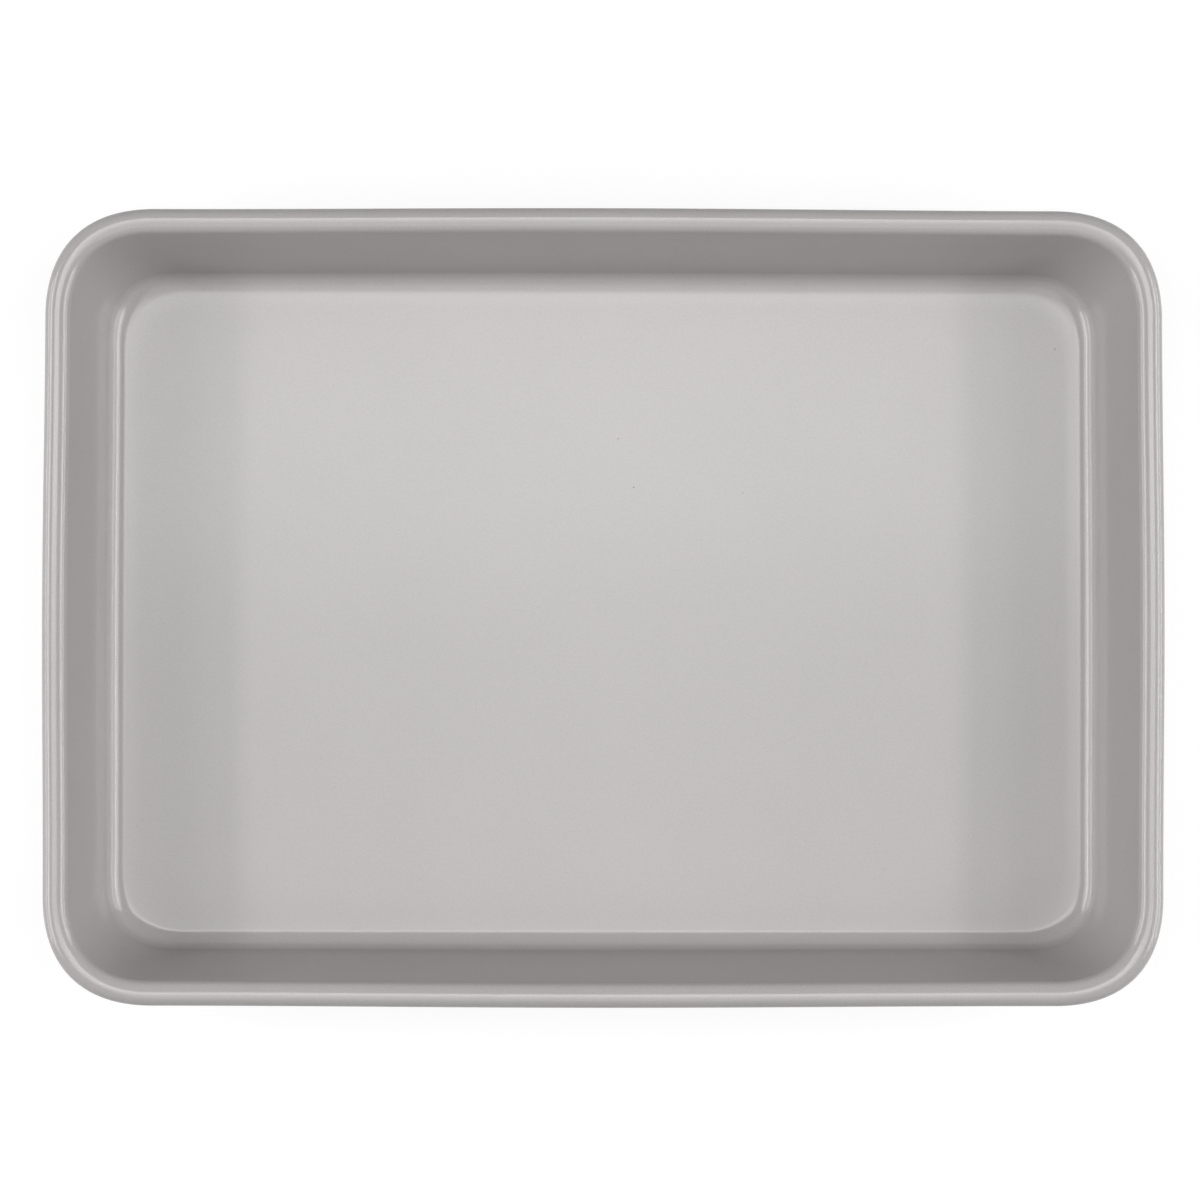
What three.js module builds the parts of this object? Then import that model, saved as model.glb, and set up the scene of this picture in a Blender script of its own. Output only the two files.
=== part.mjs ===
// Rectangular cake pan: one deep-drawn steel sheet whose edge is rolled outwards round a steel wire.
// Millimetres, +Z up, +X along the pan. The origin is the middle of the underside.

import * as THREE from 'three';
import { LoftGeometry } from 'three/addons/geometries/LoftGeometry.js';
import { mergeGeometries } from 'three/addons/utils/BufferGeometryUtils.js';

// Driving dimensions
const panLength = 348; // over the rim, at the middle of the short sides
const panWidth = 248; // over the rim, at the middle of the long sides
const panHeight = 51; // underside to the top of the rim
const sheetThickness = 0.8;
const wallLean = THREE.MathUtils.degToRad(10.4); // outwards from upright
const floorFilletRadius = 7.6; // inside, where the floor turns up
const wallFilletRadius = 5.5; // inside, from there to the wall
const filletChange = THREE.MathUtils.degToRad(31); // slope at which the one passes into the other
const floorCornerRadius = 19.5; // of the flat floor
const rimCornerRadius = 33.7; // round the outside of the rim
const cornerFullness = 0.048; // share of a corner's radius by which its middle stands out, so that it starts gently
const sideBow = 0.6; // how far the middle of each side swells out at the rim
const crownRadius = 6.9; // over the top of the rim
const crownTurn = THREE.MathUtils.degToRad(21); // inwards from the highest point of the rim
const shoulderRadius = 3.4; // between the crown and the wall
const wireDiameter = 4.2;
const wireClearance = 0.3; // all round the wire, inside the rolled edge
const wireEndGap = 1.5; // between the two cut ends of the wire
const curlMouth = 1; // left open between the sheet's cut edge and the wall

// Facets
const facetTurn = THREE.MathUtils.degToRad(16); // the most that one facet of the sheet's section turns by
const cornerSteps = 8; // facets round one corner of the pan
const sideSteps = 6; // facets along one side, an even number
const wireSides = 10;

const quarterTurn = Math.PI / 2;
const sides = 4;

// The sheet's section is drawn with x as the distance outside the flat floor's edge and y as the height.
// The fillet has two arcs, and the rim has a shoulder, a crown and a curl. Each arc is a centre and a radius.
const offset = (centre, radius, angle) =>
  new THREE.Vector2(centre.x + radius * Math.cos(angle), centre.y + radius * Math.sin(angle));
const fromFloor = filletChange - quarterTurn;
const fromCrown = quarterTurn + crownTurn;
const intoWall = Math.PI - wallLean;
const floorFillet = {
  centre: new THREE.Vector2(0, sheetThickness + floorFilletRadius),
  radius: floorFilletRadius,
};
const wallFillet = {
  centre: offset(floorFillet.centre, floorFilletRadius - wallFilletRadius, fromFloor),
  radius: wallFilletRadius,
};
const wallFoot = offset(wallFillet.centre, wallFilletRadius, -wallLean);

// The rim stands where its shoulder runs into the leaning wall
const curlRadius = wireDiameter / 2 + wireClearance + sheetThickness;
const curlHeight = panHeight - curlRadius;
const overCrown = new THREE.Vector2(0, panHeight - crownRadius);
const overShoulder = offset(overCrown, crownRadius - shoulderRadius, fromCrown);
const overWall = offset(overShoulder, shoulderRadius, intoWall);
const rimMiddle = wallFoot.x - overWall.x + (overWall.y - wallFoot.y) * Math.tan(wallLean);
const along = (place) => new THREE.Vector2(place.x + rimMiddle, place.y);
const crown = { centre: along(overCrown), radius: crownRadius };
const shoulder = { centre: along(overShoulder), radius: shoulderRadius };
const curl = { centre: new THREE.Vector2(rimMiddle, curlHeight), radius: curlRadius };

const wallTopReach = rimMiddle + overWall.x;
const rimReach = rimMiddle + curlRadius;
const floorHalfLength = panLength / 2 - sideBow - rimReach;
const floorHalfWidth = panWidth / 2 - sideBow - rimReach;
const wallTopCornerRadius = rimCornerRadius - (rimReach - wallTopReach);

// The wall fans out between the floor's corner and the rim's, and the bead keeps its width round the corner
function cornerRadius(reach) {
  const share = Math.min(reach / wallTopReach, 1);
  const fanned = THREE.MathUtils.lerp(floorCornerRadius, wallTopCornerRadius, share);
  return fanned + Math.max(reach - wallTopReach, 0);
}

// Points round the pan at one distance outside the flat floor's edge, clockwise from above,
// starting at the middle of the +Y side
function outline(reach) {
  const radius = cornerRadius(reach);
  const bow = sideBow * Math.min(reach / wallTopReach, 1);
  const centre = new THREE.Vector2();
  const ring = [];
  for (let side = 0; side < sides; side++) {
    const [halfAway, halfAlong] =
      side % 2 ? [floorHalfLength, floorHalfWidth] : [floorHalfWidth, floorHalfLength];
    const away = halfAway + reach;
    const run = halfAlong + reach - radius;
    const place = (along, out) => new THREE.Vector2(along, out).rotateAround(centre, -side * quarterTurn);
    for (let step = 1; step < sideSteps; step++) {
      const share = 2 * step / sideSteps - 1;
      ring.push(place(share * run, away + bow * Math.cos(share * quarterTurn) ** 2));
    }
    for (let step = 0; step <= cornerSteps; step++) {
      const turn = quarterTurn * step / cornerSteps;
      const full = radius * (1 + cornerFullness * Math.sin(2 * turn) ** 2);
      ring.push(place(run + full * Math.sin(turn), away - radius + full * Math.cos(turn)));
    }
  }
  const sideMiddle = sideSteps / 2 - 1;
  return [...ring.slice(sideMiddle), ...ring.slice(0, sideMiddle)];
}

const raised = (point, height) => new THREE.Vector3(point.x, point.y, height);

// Points of an arc of the section, its radius changed by a depth
function arcPoints({ centre, radius }, from, to, depth) {
  const facets = Math.ceil(Math.abs(to - from) / facetTurn);
  const moved = radius + depth;
  return new THREE.EllipseCurve(centre.x, centre.y, moved, moved, from, to, to < from).getPoints(facets);
}

// From the flat floor up the inside, over the rim, round the curl and back down the outside to the underside
function sheetSection() {
  const toWall = new THREE.Vector2(Math.cos(intoWall), Math.sin(intoWall));
  const wallAway = shoulderRadius - curl.centre.clone().sub(shoulder.centre).dot(toWall) - sheetThickness;
  const curlEnd = intoWall - 2 * Math.PI + Math.acos((wallAway - curlMouth) / curlRadius);
  const inside = [
    ...arcPoints(floorFillet, -quarterTurn, fromFloor, 0),
    ...arcPoints(wallFillet, fromFloor, -wallLean, 0).slice(1),
    ...arcPoints(shoulder, intoWall, fromCrown, 0),
    ...arcPoints(crown, fromCrown, quarterTurn, 0).slice(1),
    ...arcPoints(curl, quarterTurn, curlEnd, 0).slice(1),
  ];
  const outside = [
    ...arcPoints(curl, curlEnd, quarterTurn, -sheetThickness),
    ...arcPoints(crown, quarterTurn, fromCrown, -sheetThickness).slice(1),
    ...arcPoints(shoulder, fromCrown, intoWall, -sheetThickness).slice(1),
    ...arcPoints(wallFillet, -wallLean, fromFloor, sheetThickness),
    ...arcPoints(floorFillet, fromFloor, -quarterTurn, sheetThickness).slice(1),
  ];
  return [...inside, ...outside];
}

// The whole pan but its wire, in one sheet
function panShell() {
  const rings = sheetSection().map(({ x, y }) => outline(x).map((point) => raised(point, y)));
  const skin = new LoftGeometry(rings, { capEnd: true });
  const floor = new THREE.ShapeGeometry(new THREE.Shape(outline(0))).translate(0, 0, sheetThickness);
  const coating = new THREE.MeshStandardMaterial({ color: 0xbcbaba, roughness: 0.3, metalness: 0 });
  const shell = new THREE.Mesh(mergeGeometries([skin, floor]), coating);
  shell.name = 'pan_shell';
  return shell;
}

// A ring of round wire inside the rolled edge, its cut ends meeting at the middle of the +Y side
function rimWire() {
  const wireRadius = wireDiameter / 2;
  const strands = [];
  for (let side = 0; side < wireSides; side++) {
    const angle = side * 2 * Math.PI / wireSides;
    const height = curlHeight + wireRadius * Math.sin(angle);
    const strand = outline(rimMiddle + wireRadius * Math.cos(angle)).map((point) => raised(point, height));
    strands.push([...strand, strand[0].clone()]);
  }
  const sections = strands[0].map((_, station) => strands.map((strand) => strand[station]));
  sections[0].forEach((point) => point.setX(wireEndGap / 2));
  sections.at(-1).forEach((point) => point.setX(-wireEndGap / 2));
  const steel = new THREE.MeshStandardMaterial({ color: 0x9c9b98, roughness: 0.4, metalness: 1 });
  const wire = new THREE.Mesh(new LoftGeometry(sections, { capStart: true, capEnd: true }), steel);
  wire.name = 'rim_wire';
  return wire;
}

const cakePan = new THREE.Group();
cakePan.add(panShell(), rimWire());

export default cakePan;
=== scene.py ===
"""A rectangular cake pan: one drawn steel sheet, coated grey, its edge rolled round a steel wire."""

import math

import bpy
from mathutils import Matrix, Vector


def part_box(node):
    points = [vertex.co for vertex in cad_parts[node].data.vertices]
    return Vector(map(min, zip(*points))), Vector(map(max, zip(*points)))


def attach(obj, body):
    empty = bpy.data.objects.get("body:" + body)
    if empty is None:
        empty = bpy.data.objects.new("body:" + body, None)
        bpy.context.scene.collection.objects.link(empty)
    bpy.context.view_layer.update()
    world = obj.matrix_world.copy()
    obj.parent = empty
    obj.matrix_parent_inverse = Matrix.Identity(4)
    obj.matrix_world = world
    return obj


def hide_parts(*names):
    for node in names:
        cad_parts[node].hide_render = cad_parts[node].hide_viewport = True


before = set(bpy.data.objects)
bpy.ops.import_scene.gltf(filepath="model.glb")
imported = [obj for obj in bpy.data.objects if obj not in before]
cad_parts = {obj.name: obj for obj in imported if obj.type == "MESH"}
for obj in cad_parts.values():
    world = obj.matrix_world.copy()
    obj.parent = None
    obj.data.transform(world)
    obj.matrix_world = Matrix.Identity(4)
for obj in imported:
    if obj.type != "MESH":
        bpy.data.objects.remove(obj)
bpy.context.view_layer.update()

MM = 0.001
QUARTER_TURN = math.pi / 2

# Sizes of the drawn sheet and its wire, in millimetres and radians
SHEET = 0.8  # thickness
WALL_LEAN = math.radians(10.4)  # outwards from upright
FLOOR_FILLET = 7.6  # radius inside, where the floor turns up
WALL_FILLET = 5.5  # radius inside, from there to the wall
FILLET_CHANGE = math.radians(31)  # slope at which the one passes into the other
FLOOR_CORNER = 19.5  # radius of the flat floor's corners
RIM_CORNER = 33.7  # radius round the outside of the rim
CORNER_FULLNESS = 0.048  # share of a corner's radius by which its middle stands out
SIDE_BOW = 0.6  # how far the middle of each side swells out at the rim
CROWN_RADIUS = 6.9  # over the top of the rim
CROWN_TURN = math.radians(21)  # inwards from the highest point of the rim
SHOULDER_RADIUS = 3.4  # between the crown and the wall
WIRE = 4.2  # thickness
WIRE_CLEARANCE = 0.3  # all round the wire, inside the rolled edge
WIRE_END_GAP = 1.5  # between the two cut ends of the wire
CURL_MOUTH = 1  # left open between the sheet's cut edge and the wall

# The inside of the floor starts to curve up a few millimetres before its fillet
TOE_RADIUS = 92
TOE_ANGLE = math.radians(2.5)

# Facets of the sheet and the wire
CORNER_STEPS = 30  # round one corner of the pan
HALF_SIDE_STEPS = 24  # along half a side
WIRE_STATIONS = 420  # along the wire
WIRE_SIDES = 24  # round the wire
SEAM = 0.002  # millimetres within which the sheet's points are joined

# The photograph's camera, in millimetres and radians
CAMERA_PLACE = (-18.6, -42.8, 1542)
CAMERA_AIM = (-1.26, 2.2, 47.1)
CAMERA_ROLL = math.radians(0.07)
CAMERA_LENS = 144.7

# Studio lights: places and sizes in metres, and brightness. The panels hang level above the pan, and a set
# of upright strips stands on each side of it
PANEL_HEIGHT = 1.65
PANEL_WIDTH = 0.72
PANELS = {
    "far_front_panel": {"middle": -0.82, "depth": 1, "brightness": 1.4},
    "front_panel": {"middle": -0.22, "depth": 0.2, "brightness": 2.7},
    "middle_panel": {"middle": -0.02, "depth": 0.2, "brightness": 3.5},
    "back_panel": {"middle": 0.19, "depth": 0.22, "brightness": 5.6},
}
STRIP_DISTANCE = 1.2
STRIPS = {
    "low_strip": {"bottom": 0.2, "top": 0.27, "length": 0.9, "brightness": 13},
    "middle_strip": {"bottom": 0.36, "top": 0.55, "length": 1, "brightness": 3},
    "under_key_strip": {"bottom": 0.6, "top": 0.96, "length": 1.2, "brightness": 1.4},
    "key_strip": {"bottom": 0.96, "top": 1.12, "length": 1.2, "brightness": 12.3},
    "over_key_strip": {"bottom": 1.12, "top": 1.25, "length": 1.2, "brightness": 1.6},
    "high_strip": {"bottom": 1.25, "top": 1.65, "length": 1, "brightness": 4.4},
}
FILL = 0.02  # brightness of the world's light

# The floor, in metres: it lies a little below the pan and passes into plain white between the two distances
FLOOR_SIZE = 2.4
FLOOR_DROP = 0.0002
FLOOR_FADE_START = 0.35
FLOOR_FADE_END = 0.8
FLOOR_GLOW = 0.85  # what the lights leave to add, so that the floor near the pan looks white

# Sockets that share a name with others: a colour mix's colours and result, and the ends of a trim by length
FIRST_COLOUR = 6
SECOND_COLOUR = 7
MIXED_COLOUR = 2
TRIM_START = 4
TRIM_END = 5


def add(tree, kind, inputs=None, out=0, **settings):
    """Adds a node, sets it up, fills its inputs with values or links, and gives back one of its outputs."""
    node = tree.nodes.new(kind)
    for name, value in settings.items():
        setattr(node, name, value)
    for key, value in (inputs or {}).items():
        for item in value if isinstance(value, list) else [value]:
            if isinstance(item, bpy.types.NodeSocket):
                tree.links.new(item, node.inputs[key])
            else:
                node.inputs[key].default_value = item
    return node.outputs[out] if node.outputs else None


def linear(hex_colour):
    """An sRGB hex colour as the linear colour that a socket takes."""
    channels = [int(hex_colour[i:i + 2], 16) / 255 for i in (1, 3, 5)]
    return (*[c / 12.92 if c <= 0.04045 else ((c + 0.055) / 1.055) ** 2.4 for c in channels], 1)


def new_material(name):
    """A material with an empty node tree."""
    material = bpy.data.materials.new(name)
    material.use_nodes = True
    material.node_tree.nodes.clear()
    return material, material.node_tree


# Finishes, their sizes in millimetres


def sprayed_coating():
    """Non-stick coating sprayed on the drawn sheet and baked: a light warm grey with a satin gloss, a very
    fine grain of pigment, a slight orange peel, faint pits, and here and there a pit dark enough to show
    as a speck."""
    # Real pigment is some hundredths of a millimetre across, so the grain is drawn coarse enough to show
    grain_size = 0.45
    cloud_size = 38
    peel_size = 1.4
    pit_spread = 5
    pit_size = 0.55
    relief_depth = 0.0003
    cloud_share = 0.2
    grain_share = 0.25
    pit_rarity = 40
    faint_pit = 0.08
    smoothest = 0.14
    roughest = 0.165
    material, tree = new_material("sprayed_nonstick_coating")
    place = add(tree, "ShaderNodeTexCoord", out="Object")
    grain = add(tree, "ShaderNodeTexNoise",
                {"Vector": place, "Scale": 1 / (grain_size * MM), "Detail": 1.5})
    cloud = add(tree, "ShaderNodeTexNoise", {"Vector": place, "Scale": 1 / (cloud_size * MM), "Detail": 2})
    peel = add(tree, "ShaderNodeTexNoise", {"Vector": place, "Scale": 1 / (peel_size * MM), "Detail": 1})
    shade = add(tree, "ShaderNodeMix", {"Factor": cloud_share, "A": grain, "B": cloud})
    colour = add(tree, "ShaderNodeMix",
                 {"Factor": shade, FIRST_COLOUR: linear("#A39F9F"), SECOND_COLOUR: linear("#B9B5B5")},
                 MIXED_COLOUR, data_type="RGBA")
    # Each pit has its own depth of shade: nearly all are faint and a few are dark
    away = add(tree, "ShaderNodeTexVoronoi", {"Vector": place, "Scale": 1 / (pit_spread * MM)}, "Distance")
    chance = add(tree, "ShaderNodeSeparateColor", {"Color": away.node.outputs["Color"]}, "Red")
    dark = add(tree, "ShaderNodeMath", {0: chance, 1: pit_rarity}, operation="POWER")
    dark = add(tree, "ShaderNodeMath", {0: dark, 1: faint_pit}, operation="ADD")
    edge = pit_size / 2 / pit_spread
    pits = add(tree, "ShaderNodeMapRange",
               {"Value": away, "From Min": edge, "From Max": edge / 2, "To Max": dark})
    colour = add(tree, "ShaderNodeMix",
                 {"Factor": pits, FIRST_COLOUR: colour, SECOND_COLOUR: linear("#5E5A59")},
                 MIXED_COLOUR, data_type="RGBA")
    gloss = add(tree, "ShaderNodeMapRange", {"Value": grain, "To Min": smoothest, "To Max": roughest})
    relief = add(tree, "ShaderNodeMath", {0: grain, 1: grain_share, 2: peel}, operation="MULTIPLY_ADD")
    bump = add(tree, "ShaderNodeBump", {"Strength": 1, "Distance": relief_depth * MM, "Height": relief})
    surface = add(tree, "ShaderNodeBsdfPrincipled",
                  {"Base Color": colour, "Roughness": gloss, "IOR": 1.5, "Normal": bump})
    add(tree, "ShaderNodeOutputMaterial", {"Surface": surface})
    return material


def cut_edge_steel():
    """Carbon steel sheared through and left bare: a dull grey edge with short dark and light tears."""
    tear_size = 0.4
    tear_depth = 0.02
    smoothest = 0.4
    roughest = 0.6
    material, tree = new_material("sheared_carbon_steel")
    place = add(tree, "ShaderNodeTexCoord", out="Object")
    tears = add(tree, "ShaderNodeTexNoise", {"Vector": place, "Scale": 1 / (tear_size * MM), "Detail": 3})
    colour = add(tree, "ShaderNodeMix",
                 {"Factor": tears, FIRST_COLOUR: linear("#75726F"), SECOND_COLOUR: linear("#A8A5A1")},
                 MIXED_COLOUR, data_type="RGBA")
    gloss = add(tree, "ShaderNodeMapRange", {"Value": tears, "To Min": smoothest, "To Max": roughest})
    bump = add(tree, "ShaderNodeBump", {"Strength": 1, "Distance": tear_depth * MM, "Height": tears})
    surface = add(tree, "ShaderNodeBsdfPrincipled",
                  {"Base Color": colour, "Metallic": 1, "Roughness": gloss, "Normal": bump})
    add(tree, "ShaderNodeOutputMaterial", {"Surface": surface})
    return material


def drawn_wire_steel():
    """Mild steel wire pulled through a die and left bare: a soft grey shine, patchy where a film of oil has
    dulled."""
    patch_size = 6
    scratch_size = 0.5
    scratch_depth = 0.01
    smoothest = 0.3
    roughest = 0.5
    material, tree = new_material("drawn_mild_steel_wire")
    place = add(tree, "ShaderNodeTexCoord", out="Object")
    patch = add(tree, "ShaderNodeTexNoise", {"Vector": place, "Scale": 1 / (patch_size * MM), "Detail": 3})
    scratch = add(tree, "ShaderNodeTexNoise",
                  {"Vector": place, "Scale": 1 / (scratch_size * MM), "Detail": 2})
    colour = add(tree, "ShaderNodeMix",
                 {"Factor": patch, FIRST_COLOUR: linear("#8C8A86"), SECOND_COLOUR: linear("#AEADAA")},
                 MIXED_COLOUR, data_type="RGBA")
    gloss = add(tree, "ShaderNodeMapRange", {"Value": patch, "To Min": smoothest, "To Max": roughest})
    bump = add(tree, "ShaderNodeBump", {"Strength": 1, "Distance": scratch_depth * MM, "Height": scratch})
    surface = add(tree, "ShaderNodeBsdfPrincipled",
                  {"Base Color": colour, "Metallic": 1, "Roughness": gloss, "Normal": bump})
    add(tree, "ShaderNodeOutputMaterial", {"Surface": surface})
    return material


# Geometry Nodes


def new_tree(name, sizes):
    """A Geometry Nodes tree with a named input for each size or material, and those inputs' sockets by
    name."""
    tree = bpy.data.node_groups.new(name, "GeometryNodeTree")
    tree.interface.new_socket("Geometry", in_out="OUTPUT", socket_type="NodeSocketGeometry")
    kinds = {int: "NodeSocketInt", tuple: "NodeSocketVector", bpy.types.Material: "NodeSocketMaterial"}
    for label, value in sizes.items():
        kind = kinds.get(type(value), "NodeSocketFloat")
        tree.interface.new_socket(label, in_out="INPUT", socket_type=kind)
    given = tree.nodes.new("NodeGroupInput")
    return tree, {socket.name: socket for socket in given.outputs if socket.name}


def grown(name, tree, sizes):
    """A plain mesh object made by a tree from these sizes."""
    piece = bpy.data.objects.new(name, bpy.data.meshes.new(name))
    maker = piece.modifiers.new("maker", "NODES")
    maker.node_group = tree
    for socket in tree.interface.items_tree:
        if socket.in_out == "INPUT":
            maker[socket.identifier] = sizes[socket.name]
    bpy.context.scene.collection.objects.link(piece)
    made = piece.evaluated_get(bpy.context.evaluated_depsgraph_get())
    mesh = bpy.data.meshes.new_from_object(made)
    # The tree's first grid leaves an empty material slot
    while mesh.materials and mesh.materials[0] is None:
        mesh.materials.pop(index=0)
    piece.modifiers.clear()
    piece.data = mesh
    mesh.name = name
    return piece


def line(start, end, points):
    """A straight stretch."""
    return {"from": start, "to": end, "points": points}


def arc(centre, radius, start, turn, points):
    """A round stretch, from its start angle through its turn."""
    return {"centre": centre, "radius": radius, "start": start, "turn": turn, "points": points}


def chain(tree, stretches):
    """Points along a line of straight and round stretches, numbered from its start to its end. Each point
    keeps its order: the number of its stretch plus how far along that stretch it is."""
    parts = []
    for number, stretch in enumerate(stretches):
        along = add(tree, "GeometryNodeSplineParameter")
        if "centre" in stretch:
            curve = add(tree, "GeometryNodeCurveArc", {
                "Resolution": stretch["points"], "Radius": stretch["radius"],
                "Start Angle": stretch["start"], "Sweep Angle": stretch["turn"]})
            curve = add(tree, "GeometryNodeSetPosition", {"Geometry": curve, "Offset": stretch["centre"]})
        else:
            curve = add(tree, "GeometryNodeCurvePrimitiveLine",
                        {"Start": stretch["from"], "End": stretch["to"]})
            curve = add(tree, "GeometryNodeResampleCurve", {"Curve": curve, "Count": stretch["points"]})
        order = add(tree, "ShaderNodeMath", {0: along, 1: number}, operation="ADD")
        parts.append(add(tree, "GeometryNodeStoreNamedAttribute",
                         {"Geometry": curve, "Name": "order", "Value": order}))
    joined = add(tree, "GeometryNodeJoinGeometry", {"Geometry": parts})
    points = add(tree, "GeometryNodeCurveToPoints", {"Curve": joined}, mode="EVALUATED")
    order = add(tree, "GeometryNodeInputNamedAttribute", {"Name": "order"})
    return add(tree, "GeometryNodeSortElements", {"Geometry": points, "Sort Weight": order})


def once_round():
    """Stretches once round a square of half side 2 with corners of radius 1, clockwise from the middle of
    its +Y side. The nearest point of the inner square of half side 1 tells how far along a side a point is,
    and the way from there to the point is the outline's outward direction."""
    stretches = []
    for quarter in range(4):
        turn = -QUARTER_TURN * quarter
        spin = Matrix.Rotation(turn, 3, "Z")
        middle = tuple(spin @ Vector((0, 2, 0)))
        corner_start = tuple(spin @ Vector((1, 2, 0)))
        corner_centre = tuple(spin @ Vector((1, 1, 0)))
        corner_end = tuple(spin @ Vector((2, 1, 0)))
        next_middle = tuple(spin @ Vector((2, 0, 0)))
        stretches.append(line(middle, corner_start, HALF_SIDE_STEPS + 1))
        stretches.append(arc(corner_centre, 1.0, QUARTER_TURN + turn, -QUARTER_TURN, CORNER_STEPS + 1))
        stretches.append(line(corner_end, next_middle, HALF_SIDE_STEPS + 1))
    return stretches


def outline_place(tree, given, guide, reach, height):
    """Where a point of the pan lies. The guide is its place on the rounded square, the reach is how far out
    it is from the edge of the flat floor, and the corners widen with the reach."""
    inner = add(tree, "ShaderNodeVectorMath", {0: guide, 1: (1, 1, 1)}, operation="MINIMUM")
    inner = add(tree, "ShaderNodeVectorMath", {0: inner, 1: (-1, -1, -1)}, operation="MAXIMUM")
    outward = add(tree, "ShaderNodeVectorMath", {0: guide, 1: inner}, operation="SUBTRACT")
    on_floor = add(tree, "ShaderNodeMapRange", {
        "Value": reach, "From Min": given["Floor middle reach"], "From Max": 0,
        "To Max": given["Floor corner"]})
    on_wall = add(tree, "ShaderNodeMapRange", {
        "Value": reach, "From Max": given["Wall top reach"], "To Max": given["Wall corner growth"]})
    on_bead = add(tree, "ShaderNodeMapRange", {
        "Value": reach, "From Min": given["Wall top reach"], "From Max": given["Rim reach"],
        "To Max": given["Bead corner growth"]})
    corner = add(tree, "ShaderNodeMath", {0: on_floor, 1: on_wall}, operation="ADD")
    corner = add(tree, "ShaderNodeMath", {0: corner, 1: on_bead}, operation="ADD")
    straight = add(tree, "ShaderNodeMath", {0: reach, 1: corner}, operation="SUBTRACT")
    straight = add(tree, "ShaderNodeCombineXYZ", {"X": straight, "Y": straight})
    straight = add(tree, "ShaderNodeVectorMath", {0: given["Floor half size"], 1: straight}, operation="ADD")
    # The sides bow out most in their middles, not at all in the corners, and more up the wall
    half_turns = (math.pi, math.pi, math.pi)
    wave = add(tree, "ShaderNodeVectorMath", {0: inner, 1: half_turns}, operation="MULTIPLY")
    wave = add(tree, "ShaderNodeVectorMath", {0: wave}, operation="COSINE")
    swell = add(tree, "ShaderNodeVectorMath", {0: wave, 1: (0.5, 0.5, 0)}, "Value", operation="DOT_PRODUCT")
    bow = add(tree, "ShaderNodeMapRange", {
        "Value": reach, "From Max": given["Wall top reach"], "To Max": given["Side bow"]})
    bow = add(tree, "ShaderNodeMath", {0: swell, 1: bow, 2: bow}, operation="MULTIPLY_ADD")
    # The middle of a corner stands out by a share of its radius, so that the corner starts gently
    outward_x = add(tree, "ShaderNodeSeparateXYZ", {"Vector": outward}, "X")
    outward_y = add(tree, "ShaderNodeSeparateXYZ", {"Vector": outward}, "Y")
    half_sine = add(tree, "ShaderNodeMath", {0: outward_x, 1: outward_y}, operation="MULTIPLY")
    sine = add(tree, "ShaderNodeMath", {0: half_sine, 1: half_sine}, operation="ADD")
    square = add(tree, "ShaderNodeMath", {0: sine, 1: sine}, operation="MULTIPLY")
    full = add(tree, "ShaderNodeMath", {0: square, 1: given["Corner fullness"], 2: 1},
               operation="MULTIPLY_ADD")
    out = add(tree, "ShaderNodeMath", {0: corner, 1: full, 2: bow}, operation="MULTIPLY_ADD")
    out = add(tree, "ShaderNodeVectorMath", {0: outward, "Scale": out}, operation="SCALE")
    level = add(tree, "ShaderNodeVectorMath", {0: inner, 1: straight, 2: out}, operation="MULTIPLY_ADD")
    up = add(tree, "ShaderNodeCombineXYZ", {"Z": height})
    return add(tree, "ShaderNodeVectorMath", {0: level, 1: up}, operation="ADD")


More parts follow.
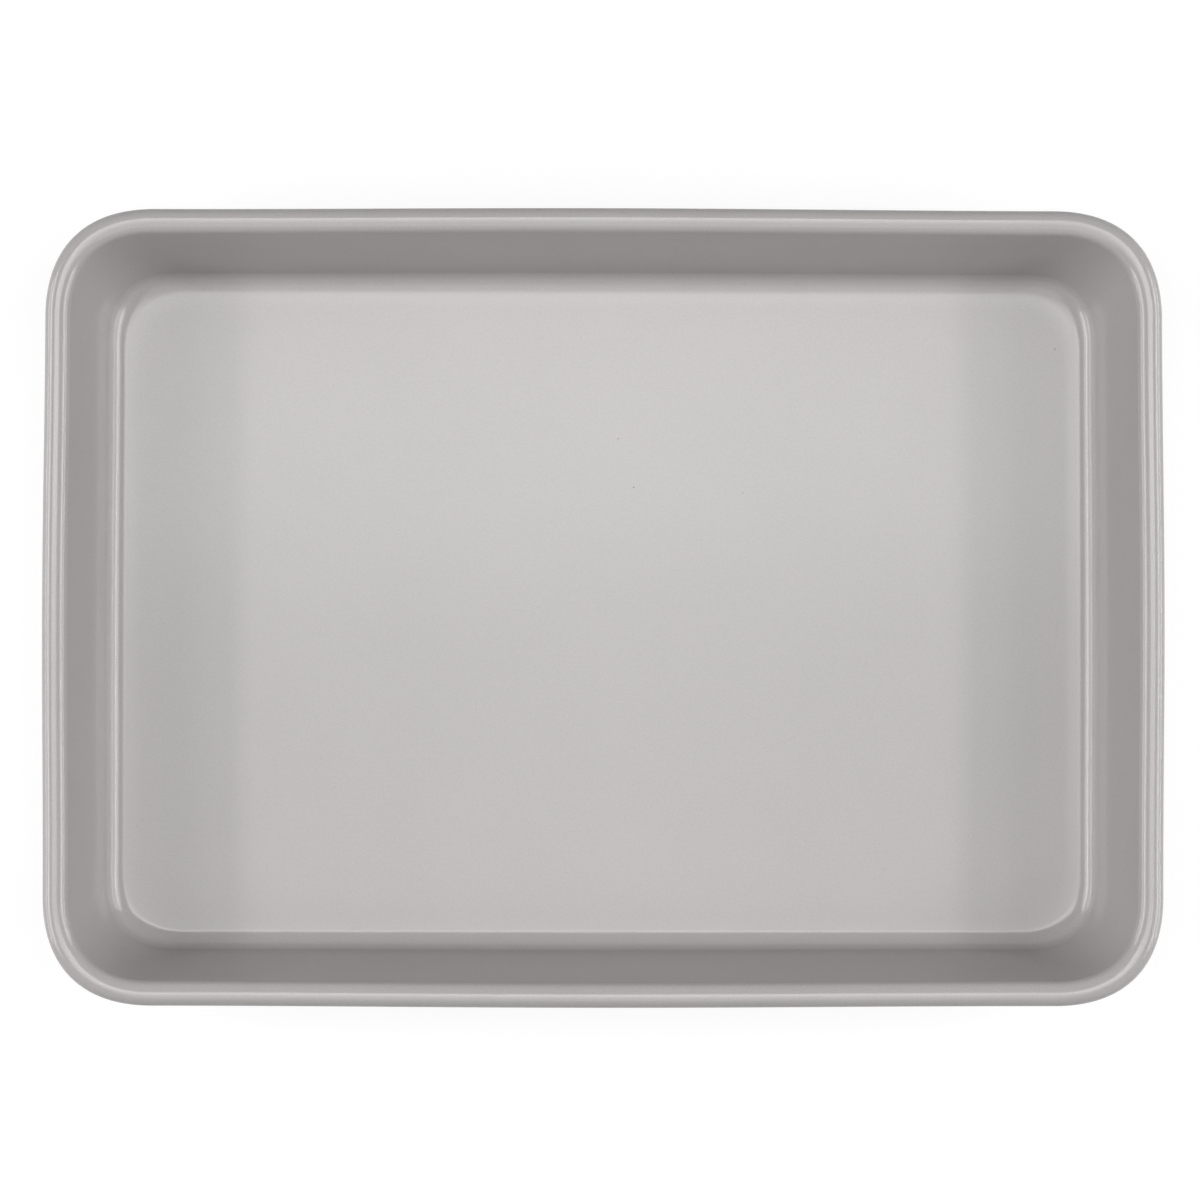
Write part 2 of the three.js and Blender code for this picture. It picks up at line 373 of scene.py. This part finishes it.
def rolled_sheet_tree(sizes, stretches, cut_edge):
    """A sheet section swept once round the pan, closed in the middle of the floor and of the underside. The
    stretch named as the cut edge is left bare."""
    tree, given = new_tree("rolled sheet", sizes)
    section = chain(tree, [{key: given[f"{name} {key}"] for key in keys} for name, keys in stretches.items()])
    guide = chain(tree, once_round())
    steps = add(tree, "GeometryNodeAttributeDomainSize", {"Geometry": section}, component="POINTCLOUD")
    stations = add(tree, "GeometryNodeAttributeDomainSize", {"Geometry": guide}, component="POINTCLOUD")
    grid = add(tree, "GeometryNodeMeshGrid", {"Vertices X": stations, "Vertices Y": steps})
    number = add(tree, "GeometryNodeInputIndex")
    station = add(tree, "FunctionNodeIntegerMath", {0: number, 1: steps}, operation="DIVIDE_FLOOR")
    step = add(tree, "FunctionNodeIntegerMath", {0: number, 1: steps}, operation="MODULO")
    here = add(tree, "GeometryNodeInputPosition")
    on_guide = add(tree, "GeometryNodeSampleIndex", {"Geometry": guide, "Value": here, "Index": station},
                   data_type="FLOAT_VECTOR")
    on_section = add(tree, "GeometryNodeSampleIndex", {"Geometry": section, "Value": here, "Index": step},
                     data_type="FLOAT_VECTOR")
    order = add(tree, "GeometryNodeInputNamedAttribute", {"Name": "order"})
    order = add(tree, "GeometryNodeSampleIndex", {"Geometry": section, "Value": order, "Index": step})
    reach = add(tree, "ShaderNodeSeparateXYZ", {"Vector": on_section}, "X")
    height = add(tree, "ShaderNodeSeparateXYZ", {"Vector": on_section}, "Y")
    place = outline_place(tree, given, on_guide, reach, height)
    sheet = add(tree, "GeometryNodeStoreNamedAttribute", {"Geometry": grid, "Name": "order", "Value": order})
    sheet = add(tree, "GeometryNodeSetPosition", {"Geometry": sheet, "Position": place})
    sheet = add(tree, "GeometryNodeMergeByDistance", {"Geometry": sheet, "Distance": given["Seam"]})
    sheet = add(tree, "GeometryNodeSetShadeSmooth", {"Geometry": sheet})
    sheet = add(tree, "GeometryNodeRealizeInstances", {"Geometry": sheet})
    # A face of the cut edge has an order between its stretch's number and the next one
    order = add(tree, "GeometryNodeInputNamedAttribute", {"Name": "order"})
    half_way = list(stretches).index(cut_edge) + 0.5
    almost_half = 0.499
    bare = add(tree, "FunctionNodeCompare", {"A": order, "B": half_way, "Epsilon": almost_half},
               operation="EQUAL")
    sheet = add(tree, "GeometryNodeSetMaterial", {"Geometry": sheet, "Material": given["Coating"]})
    sheet = add(tree, "GeometryNodeSetMaterial",
                {"Geometry": sheet, "Selection": bare, "Material": given["Bare steel"]})
    sheet = add(tree, "GeometryNodeRemoveAttribute", {"Geometry": sheet, "Name": "order"})
    add(tree, "NodeGroupOutput", {"Geometry": sheet})
    return tree


def ring_wire_tree(sizes):
    """A round wire bent to the pan's outline, its two cut ends meeting in the middle of the +Y side."""
    tree, given = new_tree("ring wire", sizes)
    guide = chain(tree, once_round())
    here = add(tree, "GeometryNodeInputPosition")
    place = outline_place(tree, given, here, given["Wire reach"], given["Wire height"])
    path = add(tree, "GeometryNodeSetPosition", {"Geometry": guide, "Position": place})
    order = add(tree, "GeometryNodeInputNamedAttribute", {"Name": "order"})
    path = add(tree, "GeometryNodePointsToCurves", {"Points": path, "Weight": order})
    length = add(tree, "GeometryNodeCurveLength", {"Curve": path})
    end = add(tree, "ShaderNodeMath", {0: length, 1: given["Half end gap"]}, operation="SUBTRACT")
    path = add(tree, "GeometryNodeTrimCurve",
               {"Curve": path, TRIM_START: given["Half end gap"], TRIM_END: end}, mode="LENGTH")
    path = add(tree, "GeometryNodeResampleCurve", {"Curve": path, "Count": given["Stations"]})
    ring = add(tree, "GeometryNodeCurvePrimitiveCircle",
               {"Resolution": given["Sides"], "Radius": given["Wire radius"]})
    wire = add(tree, "GeometryNodeCurveToMesh", {"Curve": path, "Profile Curve": ring, "Fill Caps": True})
    wire = add(tree, "GeometryNodeSetShadeSmooth", {"Geometry": wire})
    wire = add(tree, "GeometryNodeRealizeInstances", {"Geometry": wire})
    wire = add(tree, "GeometryNodeRemoveAttribute", {"Geometry": wire, "Name": "order"})
    wire = add(tree, "GeometryNodeSetMaterial", {"Geometry": wire, "Material": given["Wire steel"]})
    add(tree, "NodeGroupOutput", {"Geometry": wire})
    return tree


# The pan's sizes


def polar(centre, radius, angle):
    """The point of a circle in the section at this angle."""
    return (centre[0] + radius * math.cos(angle), centre[1] + radius * math.sin(angle))


shell_low, shell_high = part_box("pan_shell")
pan_length, pan_width, pan_height = (shell_high - shell_low) / MM
from_floor = FILLET_CHANGE - QUARTER_TURN
from_crown = QUARTER_TURN + CROWN_TURN
into_wall = math.pi - WALL_LEAN

# Centres of the fillet's two arcs and of the rim's shoulder, crown and curl, as reach and height. The rim
# stands where its shoulder runs into the leaning wall
floor_fillet = (0, SHEET + FLOOR_FILLET)
wall_fillet = polar(floor_fillet, FLOOR_FILLET - WALL_FILLET, from_floor)
wall_foot = polar(wall_fillet, WALL_FILLET, -WALL_LEAN)
curl_radius = WIRE / 2 + WIRE_CLEARANCE + SHEET
over_crown = (0, pan_height - CROWN_RADIUS)
over_shoulder = polar(over_crown, CROWN_RADIUS - SHOULDER_RADIUS, from_crown)
over_wall = polar(over_shoulder, SHOULDER_RADIUS, into_wall)
rim_middle = wall_foot[0] - over_wall[0] + (over_wall[1] - wall_foot[1]) * math.tan(WALL_LEAN)
crown = (rim_middle, over_crown[1])
shoulder = (rim_middle + over_shoulder[0], over_shoulder[1])
curl = (rim_middle, pan_height - curl_radius)
wall_top_reach = rim_middle + over_wall[0]
rim_reach = rim_middle + curl_radius
floor_half_length = pan_length / 2 - SIDE_BOW - rim_reach
floor_half_width = pan_width / 2 - SIDE_BOW - rim_reach
wall_top_corner = RIM_CORNER - (rim_reach - wall_top_reach)

# The curl stops short of the outside of the wall
half_sheet = SHEET / 2
curl_past_shoulder = ((curl[0] - shoulder[0]) * math.cos(into_wall)
                      + (curl[1] - shoulder[1]) * math.sin(into_wall))
curl_to_wall = SHOULDER_RADIUS - SHEET - curl_past_shoulder
curl_end = into_wall - 2 * math.pi + math.acos((curl_to_wall - CURL_MOUTH) / curl_radius)
curl_turn = QUARTER_TURN - curl_end
cut_edge_middle = polar(curl, curl_radius - half_sheet, curl_end)

# The toe lifts the inside of the fillet a little
toe_lift = (TOE_RADIUS - FLOOR_FILLET) * (1 - math.cos(TOE_ANGLE))
toe_reach = (FLOOR_FILLET - TOE_RADIUS) * math.sin(TOE_ANGLE)
toe_centre = (toe_reach, SHEET + TOE_RADIUS)
inner_floor_fillet = (floor_fillet[0], floor_fillet[1] + toe_lift)
inner_wall_fillet = (wall_fillet[0], wall_fillet[1] + toe_lift)
inner_wall_foot = polar(inner_wall_fillet, WALL_FILLET, -WALL_LEAN)
inner_wall_top = polar(shoulder, SHOULDER_RADIUS, into_wall)
outer_wall_top = polar(shoulder, SHOULDER_RADIUS - SHEET, into_wall)
outer_wall_foot = polar(wall_fillet, WALL_FILLET + SHEET, -WALL_LEAN)

# The sheet's section as reach and height, from the middle of the floor over the rim to the middle of the
# underside. A round stretch gives its centre, radius, start angle, turn and points
SECTION = {
    "Floor": line((-floor_half_width, SHEET), (toe_reach, SHEET), 8),
    "Toe": arc(toe_centre, TOE_RADIUS, -QUARTER_TURN, TOE_ANGLE, 9),
    "Floor fillet": arc(inner_floor_fillet, FLOOR_FILLET, TOE_ANGLE - QUARTER_TURN,
                        FILLET_CHANGE - TOE_ANGLE, 12),
    "Wall fillet": arc(inner_wall_fillet, WALL_FILLET, from_floor, -WALL_LEAN - from_floor, 17),
    "Wall": line(inner_wall_foot, inner_wall_top, 12),
    "Shoulder": arc(shoulder, SHOULDER_RADIUS, into_wall, from_crown - into_wall, 17),
    "Crown": arc(crown, CROWN_RADIUS, from_crown, -CROWN_TURN, 9),
    "Curl": arc(curl, curl_radius, QUARTER_TURN, -curl_turn, 44),
    "Cut edge": arc(cut_edge_middle, half_sheet, curl_end, -math.pi, 9),
    "Curl inside": arc(curl, curl_radius - SHEET, curl_end, curl_turn, 30),
    "Crown inside": arc(crown, CROWN_RADIUS - SHEET, QUARTER_TURN, CROWN_TURN, 5),
    "Shoulder inside": arc(shoulder, SHOULDER_RADIUS - SHEET, from_crown, into_wall - from_crown, 11),
    "Outer wall": line(outer_wall_top, outer_wall_foot, 12),
    "Outer wall fillet": arc(wall_fillet, WALL_FILLET + SHEET, -WALL_LEAN, from_floor + WALL_LEAN, 13),
    "Outer floor fillet": arc(floor_fillet, FLOOR_FILLET + SHEET, from_floor, -FILLET_CHANGE, 9),
    "Underside": line((0, 0), (-floor_half_width, 0), 8),
}

outline_sizes = {
    "Floor half size": (floor_half_length * MM, floor_half_width * MM, 0.0),
    "Floor middle reach": -floor_half_width * MM,
    "Floor corner": FLOOR_CORNER * MM,
    "Wall top reach": wall_top_reach * MM,
    "Wall corner growth": (wall_top_corner - FLOOR_CORNER) * MM,
    "Rim reach": rim_reach * MM,
    "Bead corner growth": (rim_reach - wall_top_reach) * MM,
    "Side bow": SIDE_BOW * MM,
    "Corner fullness": CORNER_FULLNESS,
}
section_sizes = {}
for stretch_name, stretch_sizes in SECTION.items():
    for key, value in stretch_sizes.items():
        if isinstance(value, tuple):
            value = (value[0] * MM, value[1] * MM, 0.0)
        elif key == "radius":
            value = value * MM
        section_sizes[f"{stretch_name} {key}"] = value

sheet_sizes = {
    **outline_sizes,
    **section_sizes,
    "Seam": SEAM * MM,
    "Coating": sprayed_coating(),
    "Bare steel": cut_edge_steel(),
}
sheet_tree = rolled_sheet_tree(sheet_sizes, SECTION, "Cut edge")
rolled_sheet = grown("rolled_sheet", sheet_tree, sheet_sizes)

wire_sizes = {
    **outline_sizes,
    "Wire reach": rim_middle * MM,
    "Wire height": curl[1] * MM,
    "Wire radius": WIRE / 2 * MM,
    "Half end gap": WIRE_END_GAP / 2 * MM,
    "Stations": WIRE_STATIONS,
    "Sides": WIRE_SIDES,
    "Wire steel": drawn_wire_steel(),
}
ring_wire = grown("ring_wire", ring_wire_tree(wire_sizes), wire_sizes)

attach(rolled_sheet, "root")
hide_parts("pan_shell")
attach(ring_wire, "root")
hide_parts("rim_wire")

# Studio


def background_rays(tree):
    """1 for the rays that show a background: seen straight, in a gloss or through glass."""
    straight = add(tree, "ShaderNodeLightPath", out="Is Camera Ray")
    glossy = add(tree, "ShaderNodeLightPath", out="Is Glossy Ray")
    through = add(tree, "ShaderNodeLightPath", out="Is Transmission Ray")
    seen = add(tree, "ShaderNodeMath", {0: straight, 1: glossy}, operation="MAXIMUM")
    return add(tree, "ShaderNodeMath", {0: seen, 1: through}, operation="MAXIMUM")


def studio_floor():
    """A plain pale floor that looks white, keeps the pan's shadow and passes into plain white further
    away."""
    mesh = bpy.data.meshes.new("floor")
    half = FLOOR_SIZE / 2
    corners = [(x * half, y * half, -FLOOR_DROP) for x, y in ((-1, -1), (1, -1), (1, 1), (-1, 1))]
    mesh.from_pydata(corners, [], [(0, 1, 2, 3)])
    floor = bpy.data.objects.new("floor", mesh)
    material, tree = new_material("white_studio_floor")
    paper = add(tree, "ShaderNodeBsdfDiffuse", {"Color": linear("#CFCFCF")})
    shaded = add(tree, "ShaderNodeBsdfDiffuse", {"Color": linear("#7A7A7A")})
    glow = add(tree, "ShaderNodeEmission", {"Color": linear("#FFFFFF"), "Strength": FLOOR_GLOW})
    near = add(tree, "ShaderNodeAddShader", {0: shaded, 1: glow})
    far = add(tree, "ShaderNodeEmission", {"Color": linear("#FFFFFF"), "Strength": 1})
    place = add(tree, "ShaderNodeTexCoord", out="Object")
    away = add(tree, "ShaderNodeVectorMath", {0: place}, "Value", operation="LENGTH")
    fade = add(tree, "ShaderNodeMapRange",
               {"Value": away, "From Min": FLOOR_FADE_START, "From Max": FLOOR_FADE_END})
    white = add(tree, "ShaderNodeMixShader", {0: fade, 1: near, 2: far})
    surface = add(tree, "ShaderNodeMixShader", {0: background_rays(tree), 1: paper, 2: white})
    add(tree, "ShaderNodeOutputMaterial", {"Surface": surface})
    mesh.materials.append(material)
    bpy.context.scene.collection.objects.link(floor)


def studio_world():
    """A soft even fill, which looks white as a background."""
    world = bpy.data.worlds.new("studio")
    world.use_nodes = True
    tree = world.node_tree
    tree.nodes.clear()
    fill = add(tree, "ShaderNodeBackground", {"Color": linear("#FFFFFF"), "Strength": FILL})
    white = add(tree, "ShaderNodeBackground", {"Color": linear("#FFFFFF"), "Strength": 1})
    surface = add(tree, "ShaderNodeMixShader", {0: background_rays(tree), 1: fill, 2: white})
    add(tree, "ShaderNodeOutputWorld", {"Surface": surface})
    bpy.context.scene.world = world


def facing(place, ahead, roll):
    """The place and turn of a camera or light that looks ahead with +Y up in its picture, turned by roll."""
    right = ahead.cross(Vector((0, 1, 0))).normalized()
    turn = Matrix((right, right.cross(ahead), -ahead)).transposed()
    return Matrix.Translation(place) @ (turn @ Matrix.Rotation(roll, 3, "Z")).to_4x4()


def panel_light(name, place, aim, size, brightness):
    """A panel that is as bright all over as its brightness says."""
    lamp = bpy.data.lights.new(name, "AREA")
    lamp.shape = "RECTANGLE"
    lamp.size, lamp.size_y = size
    lamp.energy = brightness * math.pi * lamp.size * lamp.size_y
    holder = bpy.data.objects.new(name, lamp)
    holder.matrix_world = facing(place, (aim - place).normalized(), 0)
    holder.visible_camera = False
    bpy.context.scene.collection.objects.link(holder)


def studio_lights():
    """Soft panels overhead and upright strips on the left and right, which draw the bright lines along the
    rim."""
    for name, panel in PANELS.items():
        place = Vector((0, panel["middle"], PANEL_HEIGHT))
        size = (PANEL_WIDTH, panel["depth"])
        panel_light(name, place, place - Vector((0, 0, 1)), size, panel["brightness"])
    for name, strip in STRIPS.items():
        height = (strip["bottom"] + strip["top"]) / 2
        size = (strip["top"] - strip["bottom"], strip["length"])
        aim = Vector((0, 0, height))
        for side, x in (("left", -STRIP_DISTANCE), ("right", STRIP_DISTANCE)):
            panel_light(f"{side}_{name}", Vector((x, 0, height)), aim, size, strip["brightness"])


def photo_camera():
    """The camera of the photograph, high above the pan and a little to its left and front."""
    camera = bpy.data.cameras.new("photo_camera")
    camera.lens = CAMERA_LENS
    holder = bpy.data.objects.new("photo_camera", camera)
    place = Vector(CAMERA_PLACE) * MM
    ahead = (Vector(CAMERA_AIM) * MM - place).normalized()
    holder.matrix_world = facing(place, ahead, CAMERA_ROLL)
    bpy.context.scene.collection.objects.link(holder)
    bpy.context.scene.camera = holder


studio_floor()
studio_world()
studio_lights()
photo_camera()
bpy.context.scene.view_settings.view_transform = "Standard"
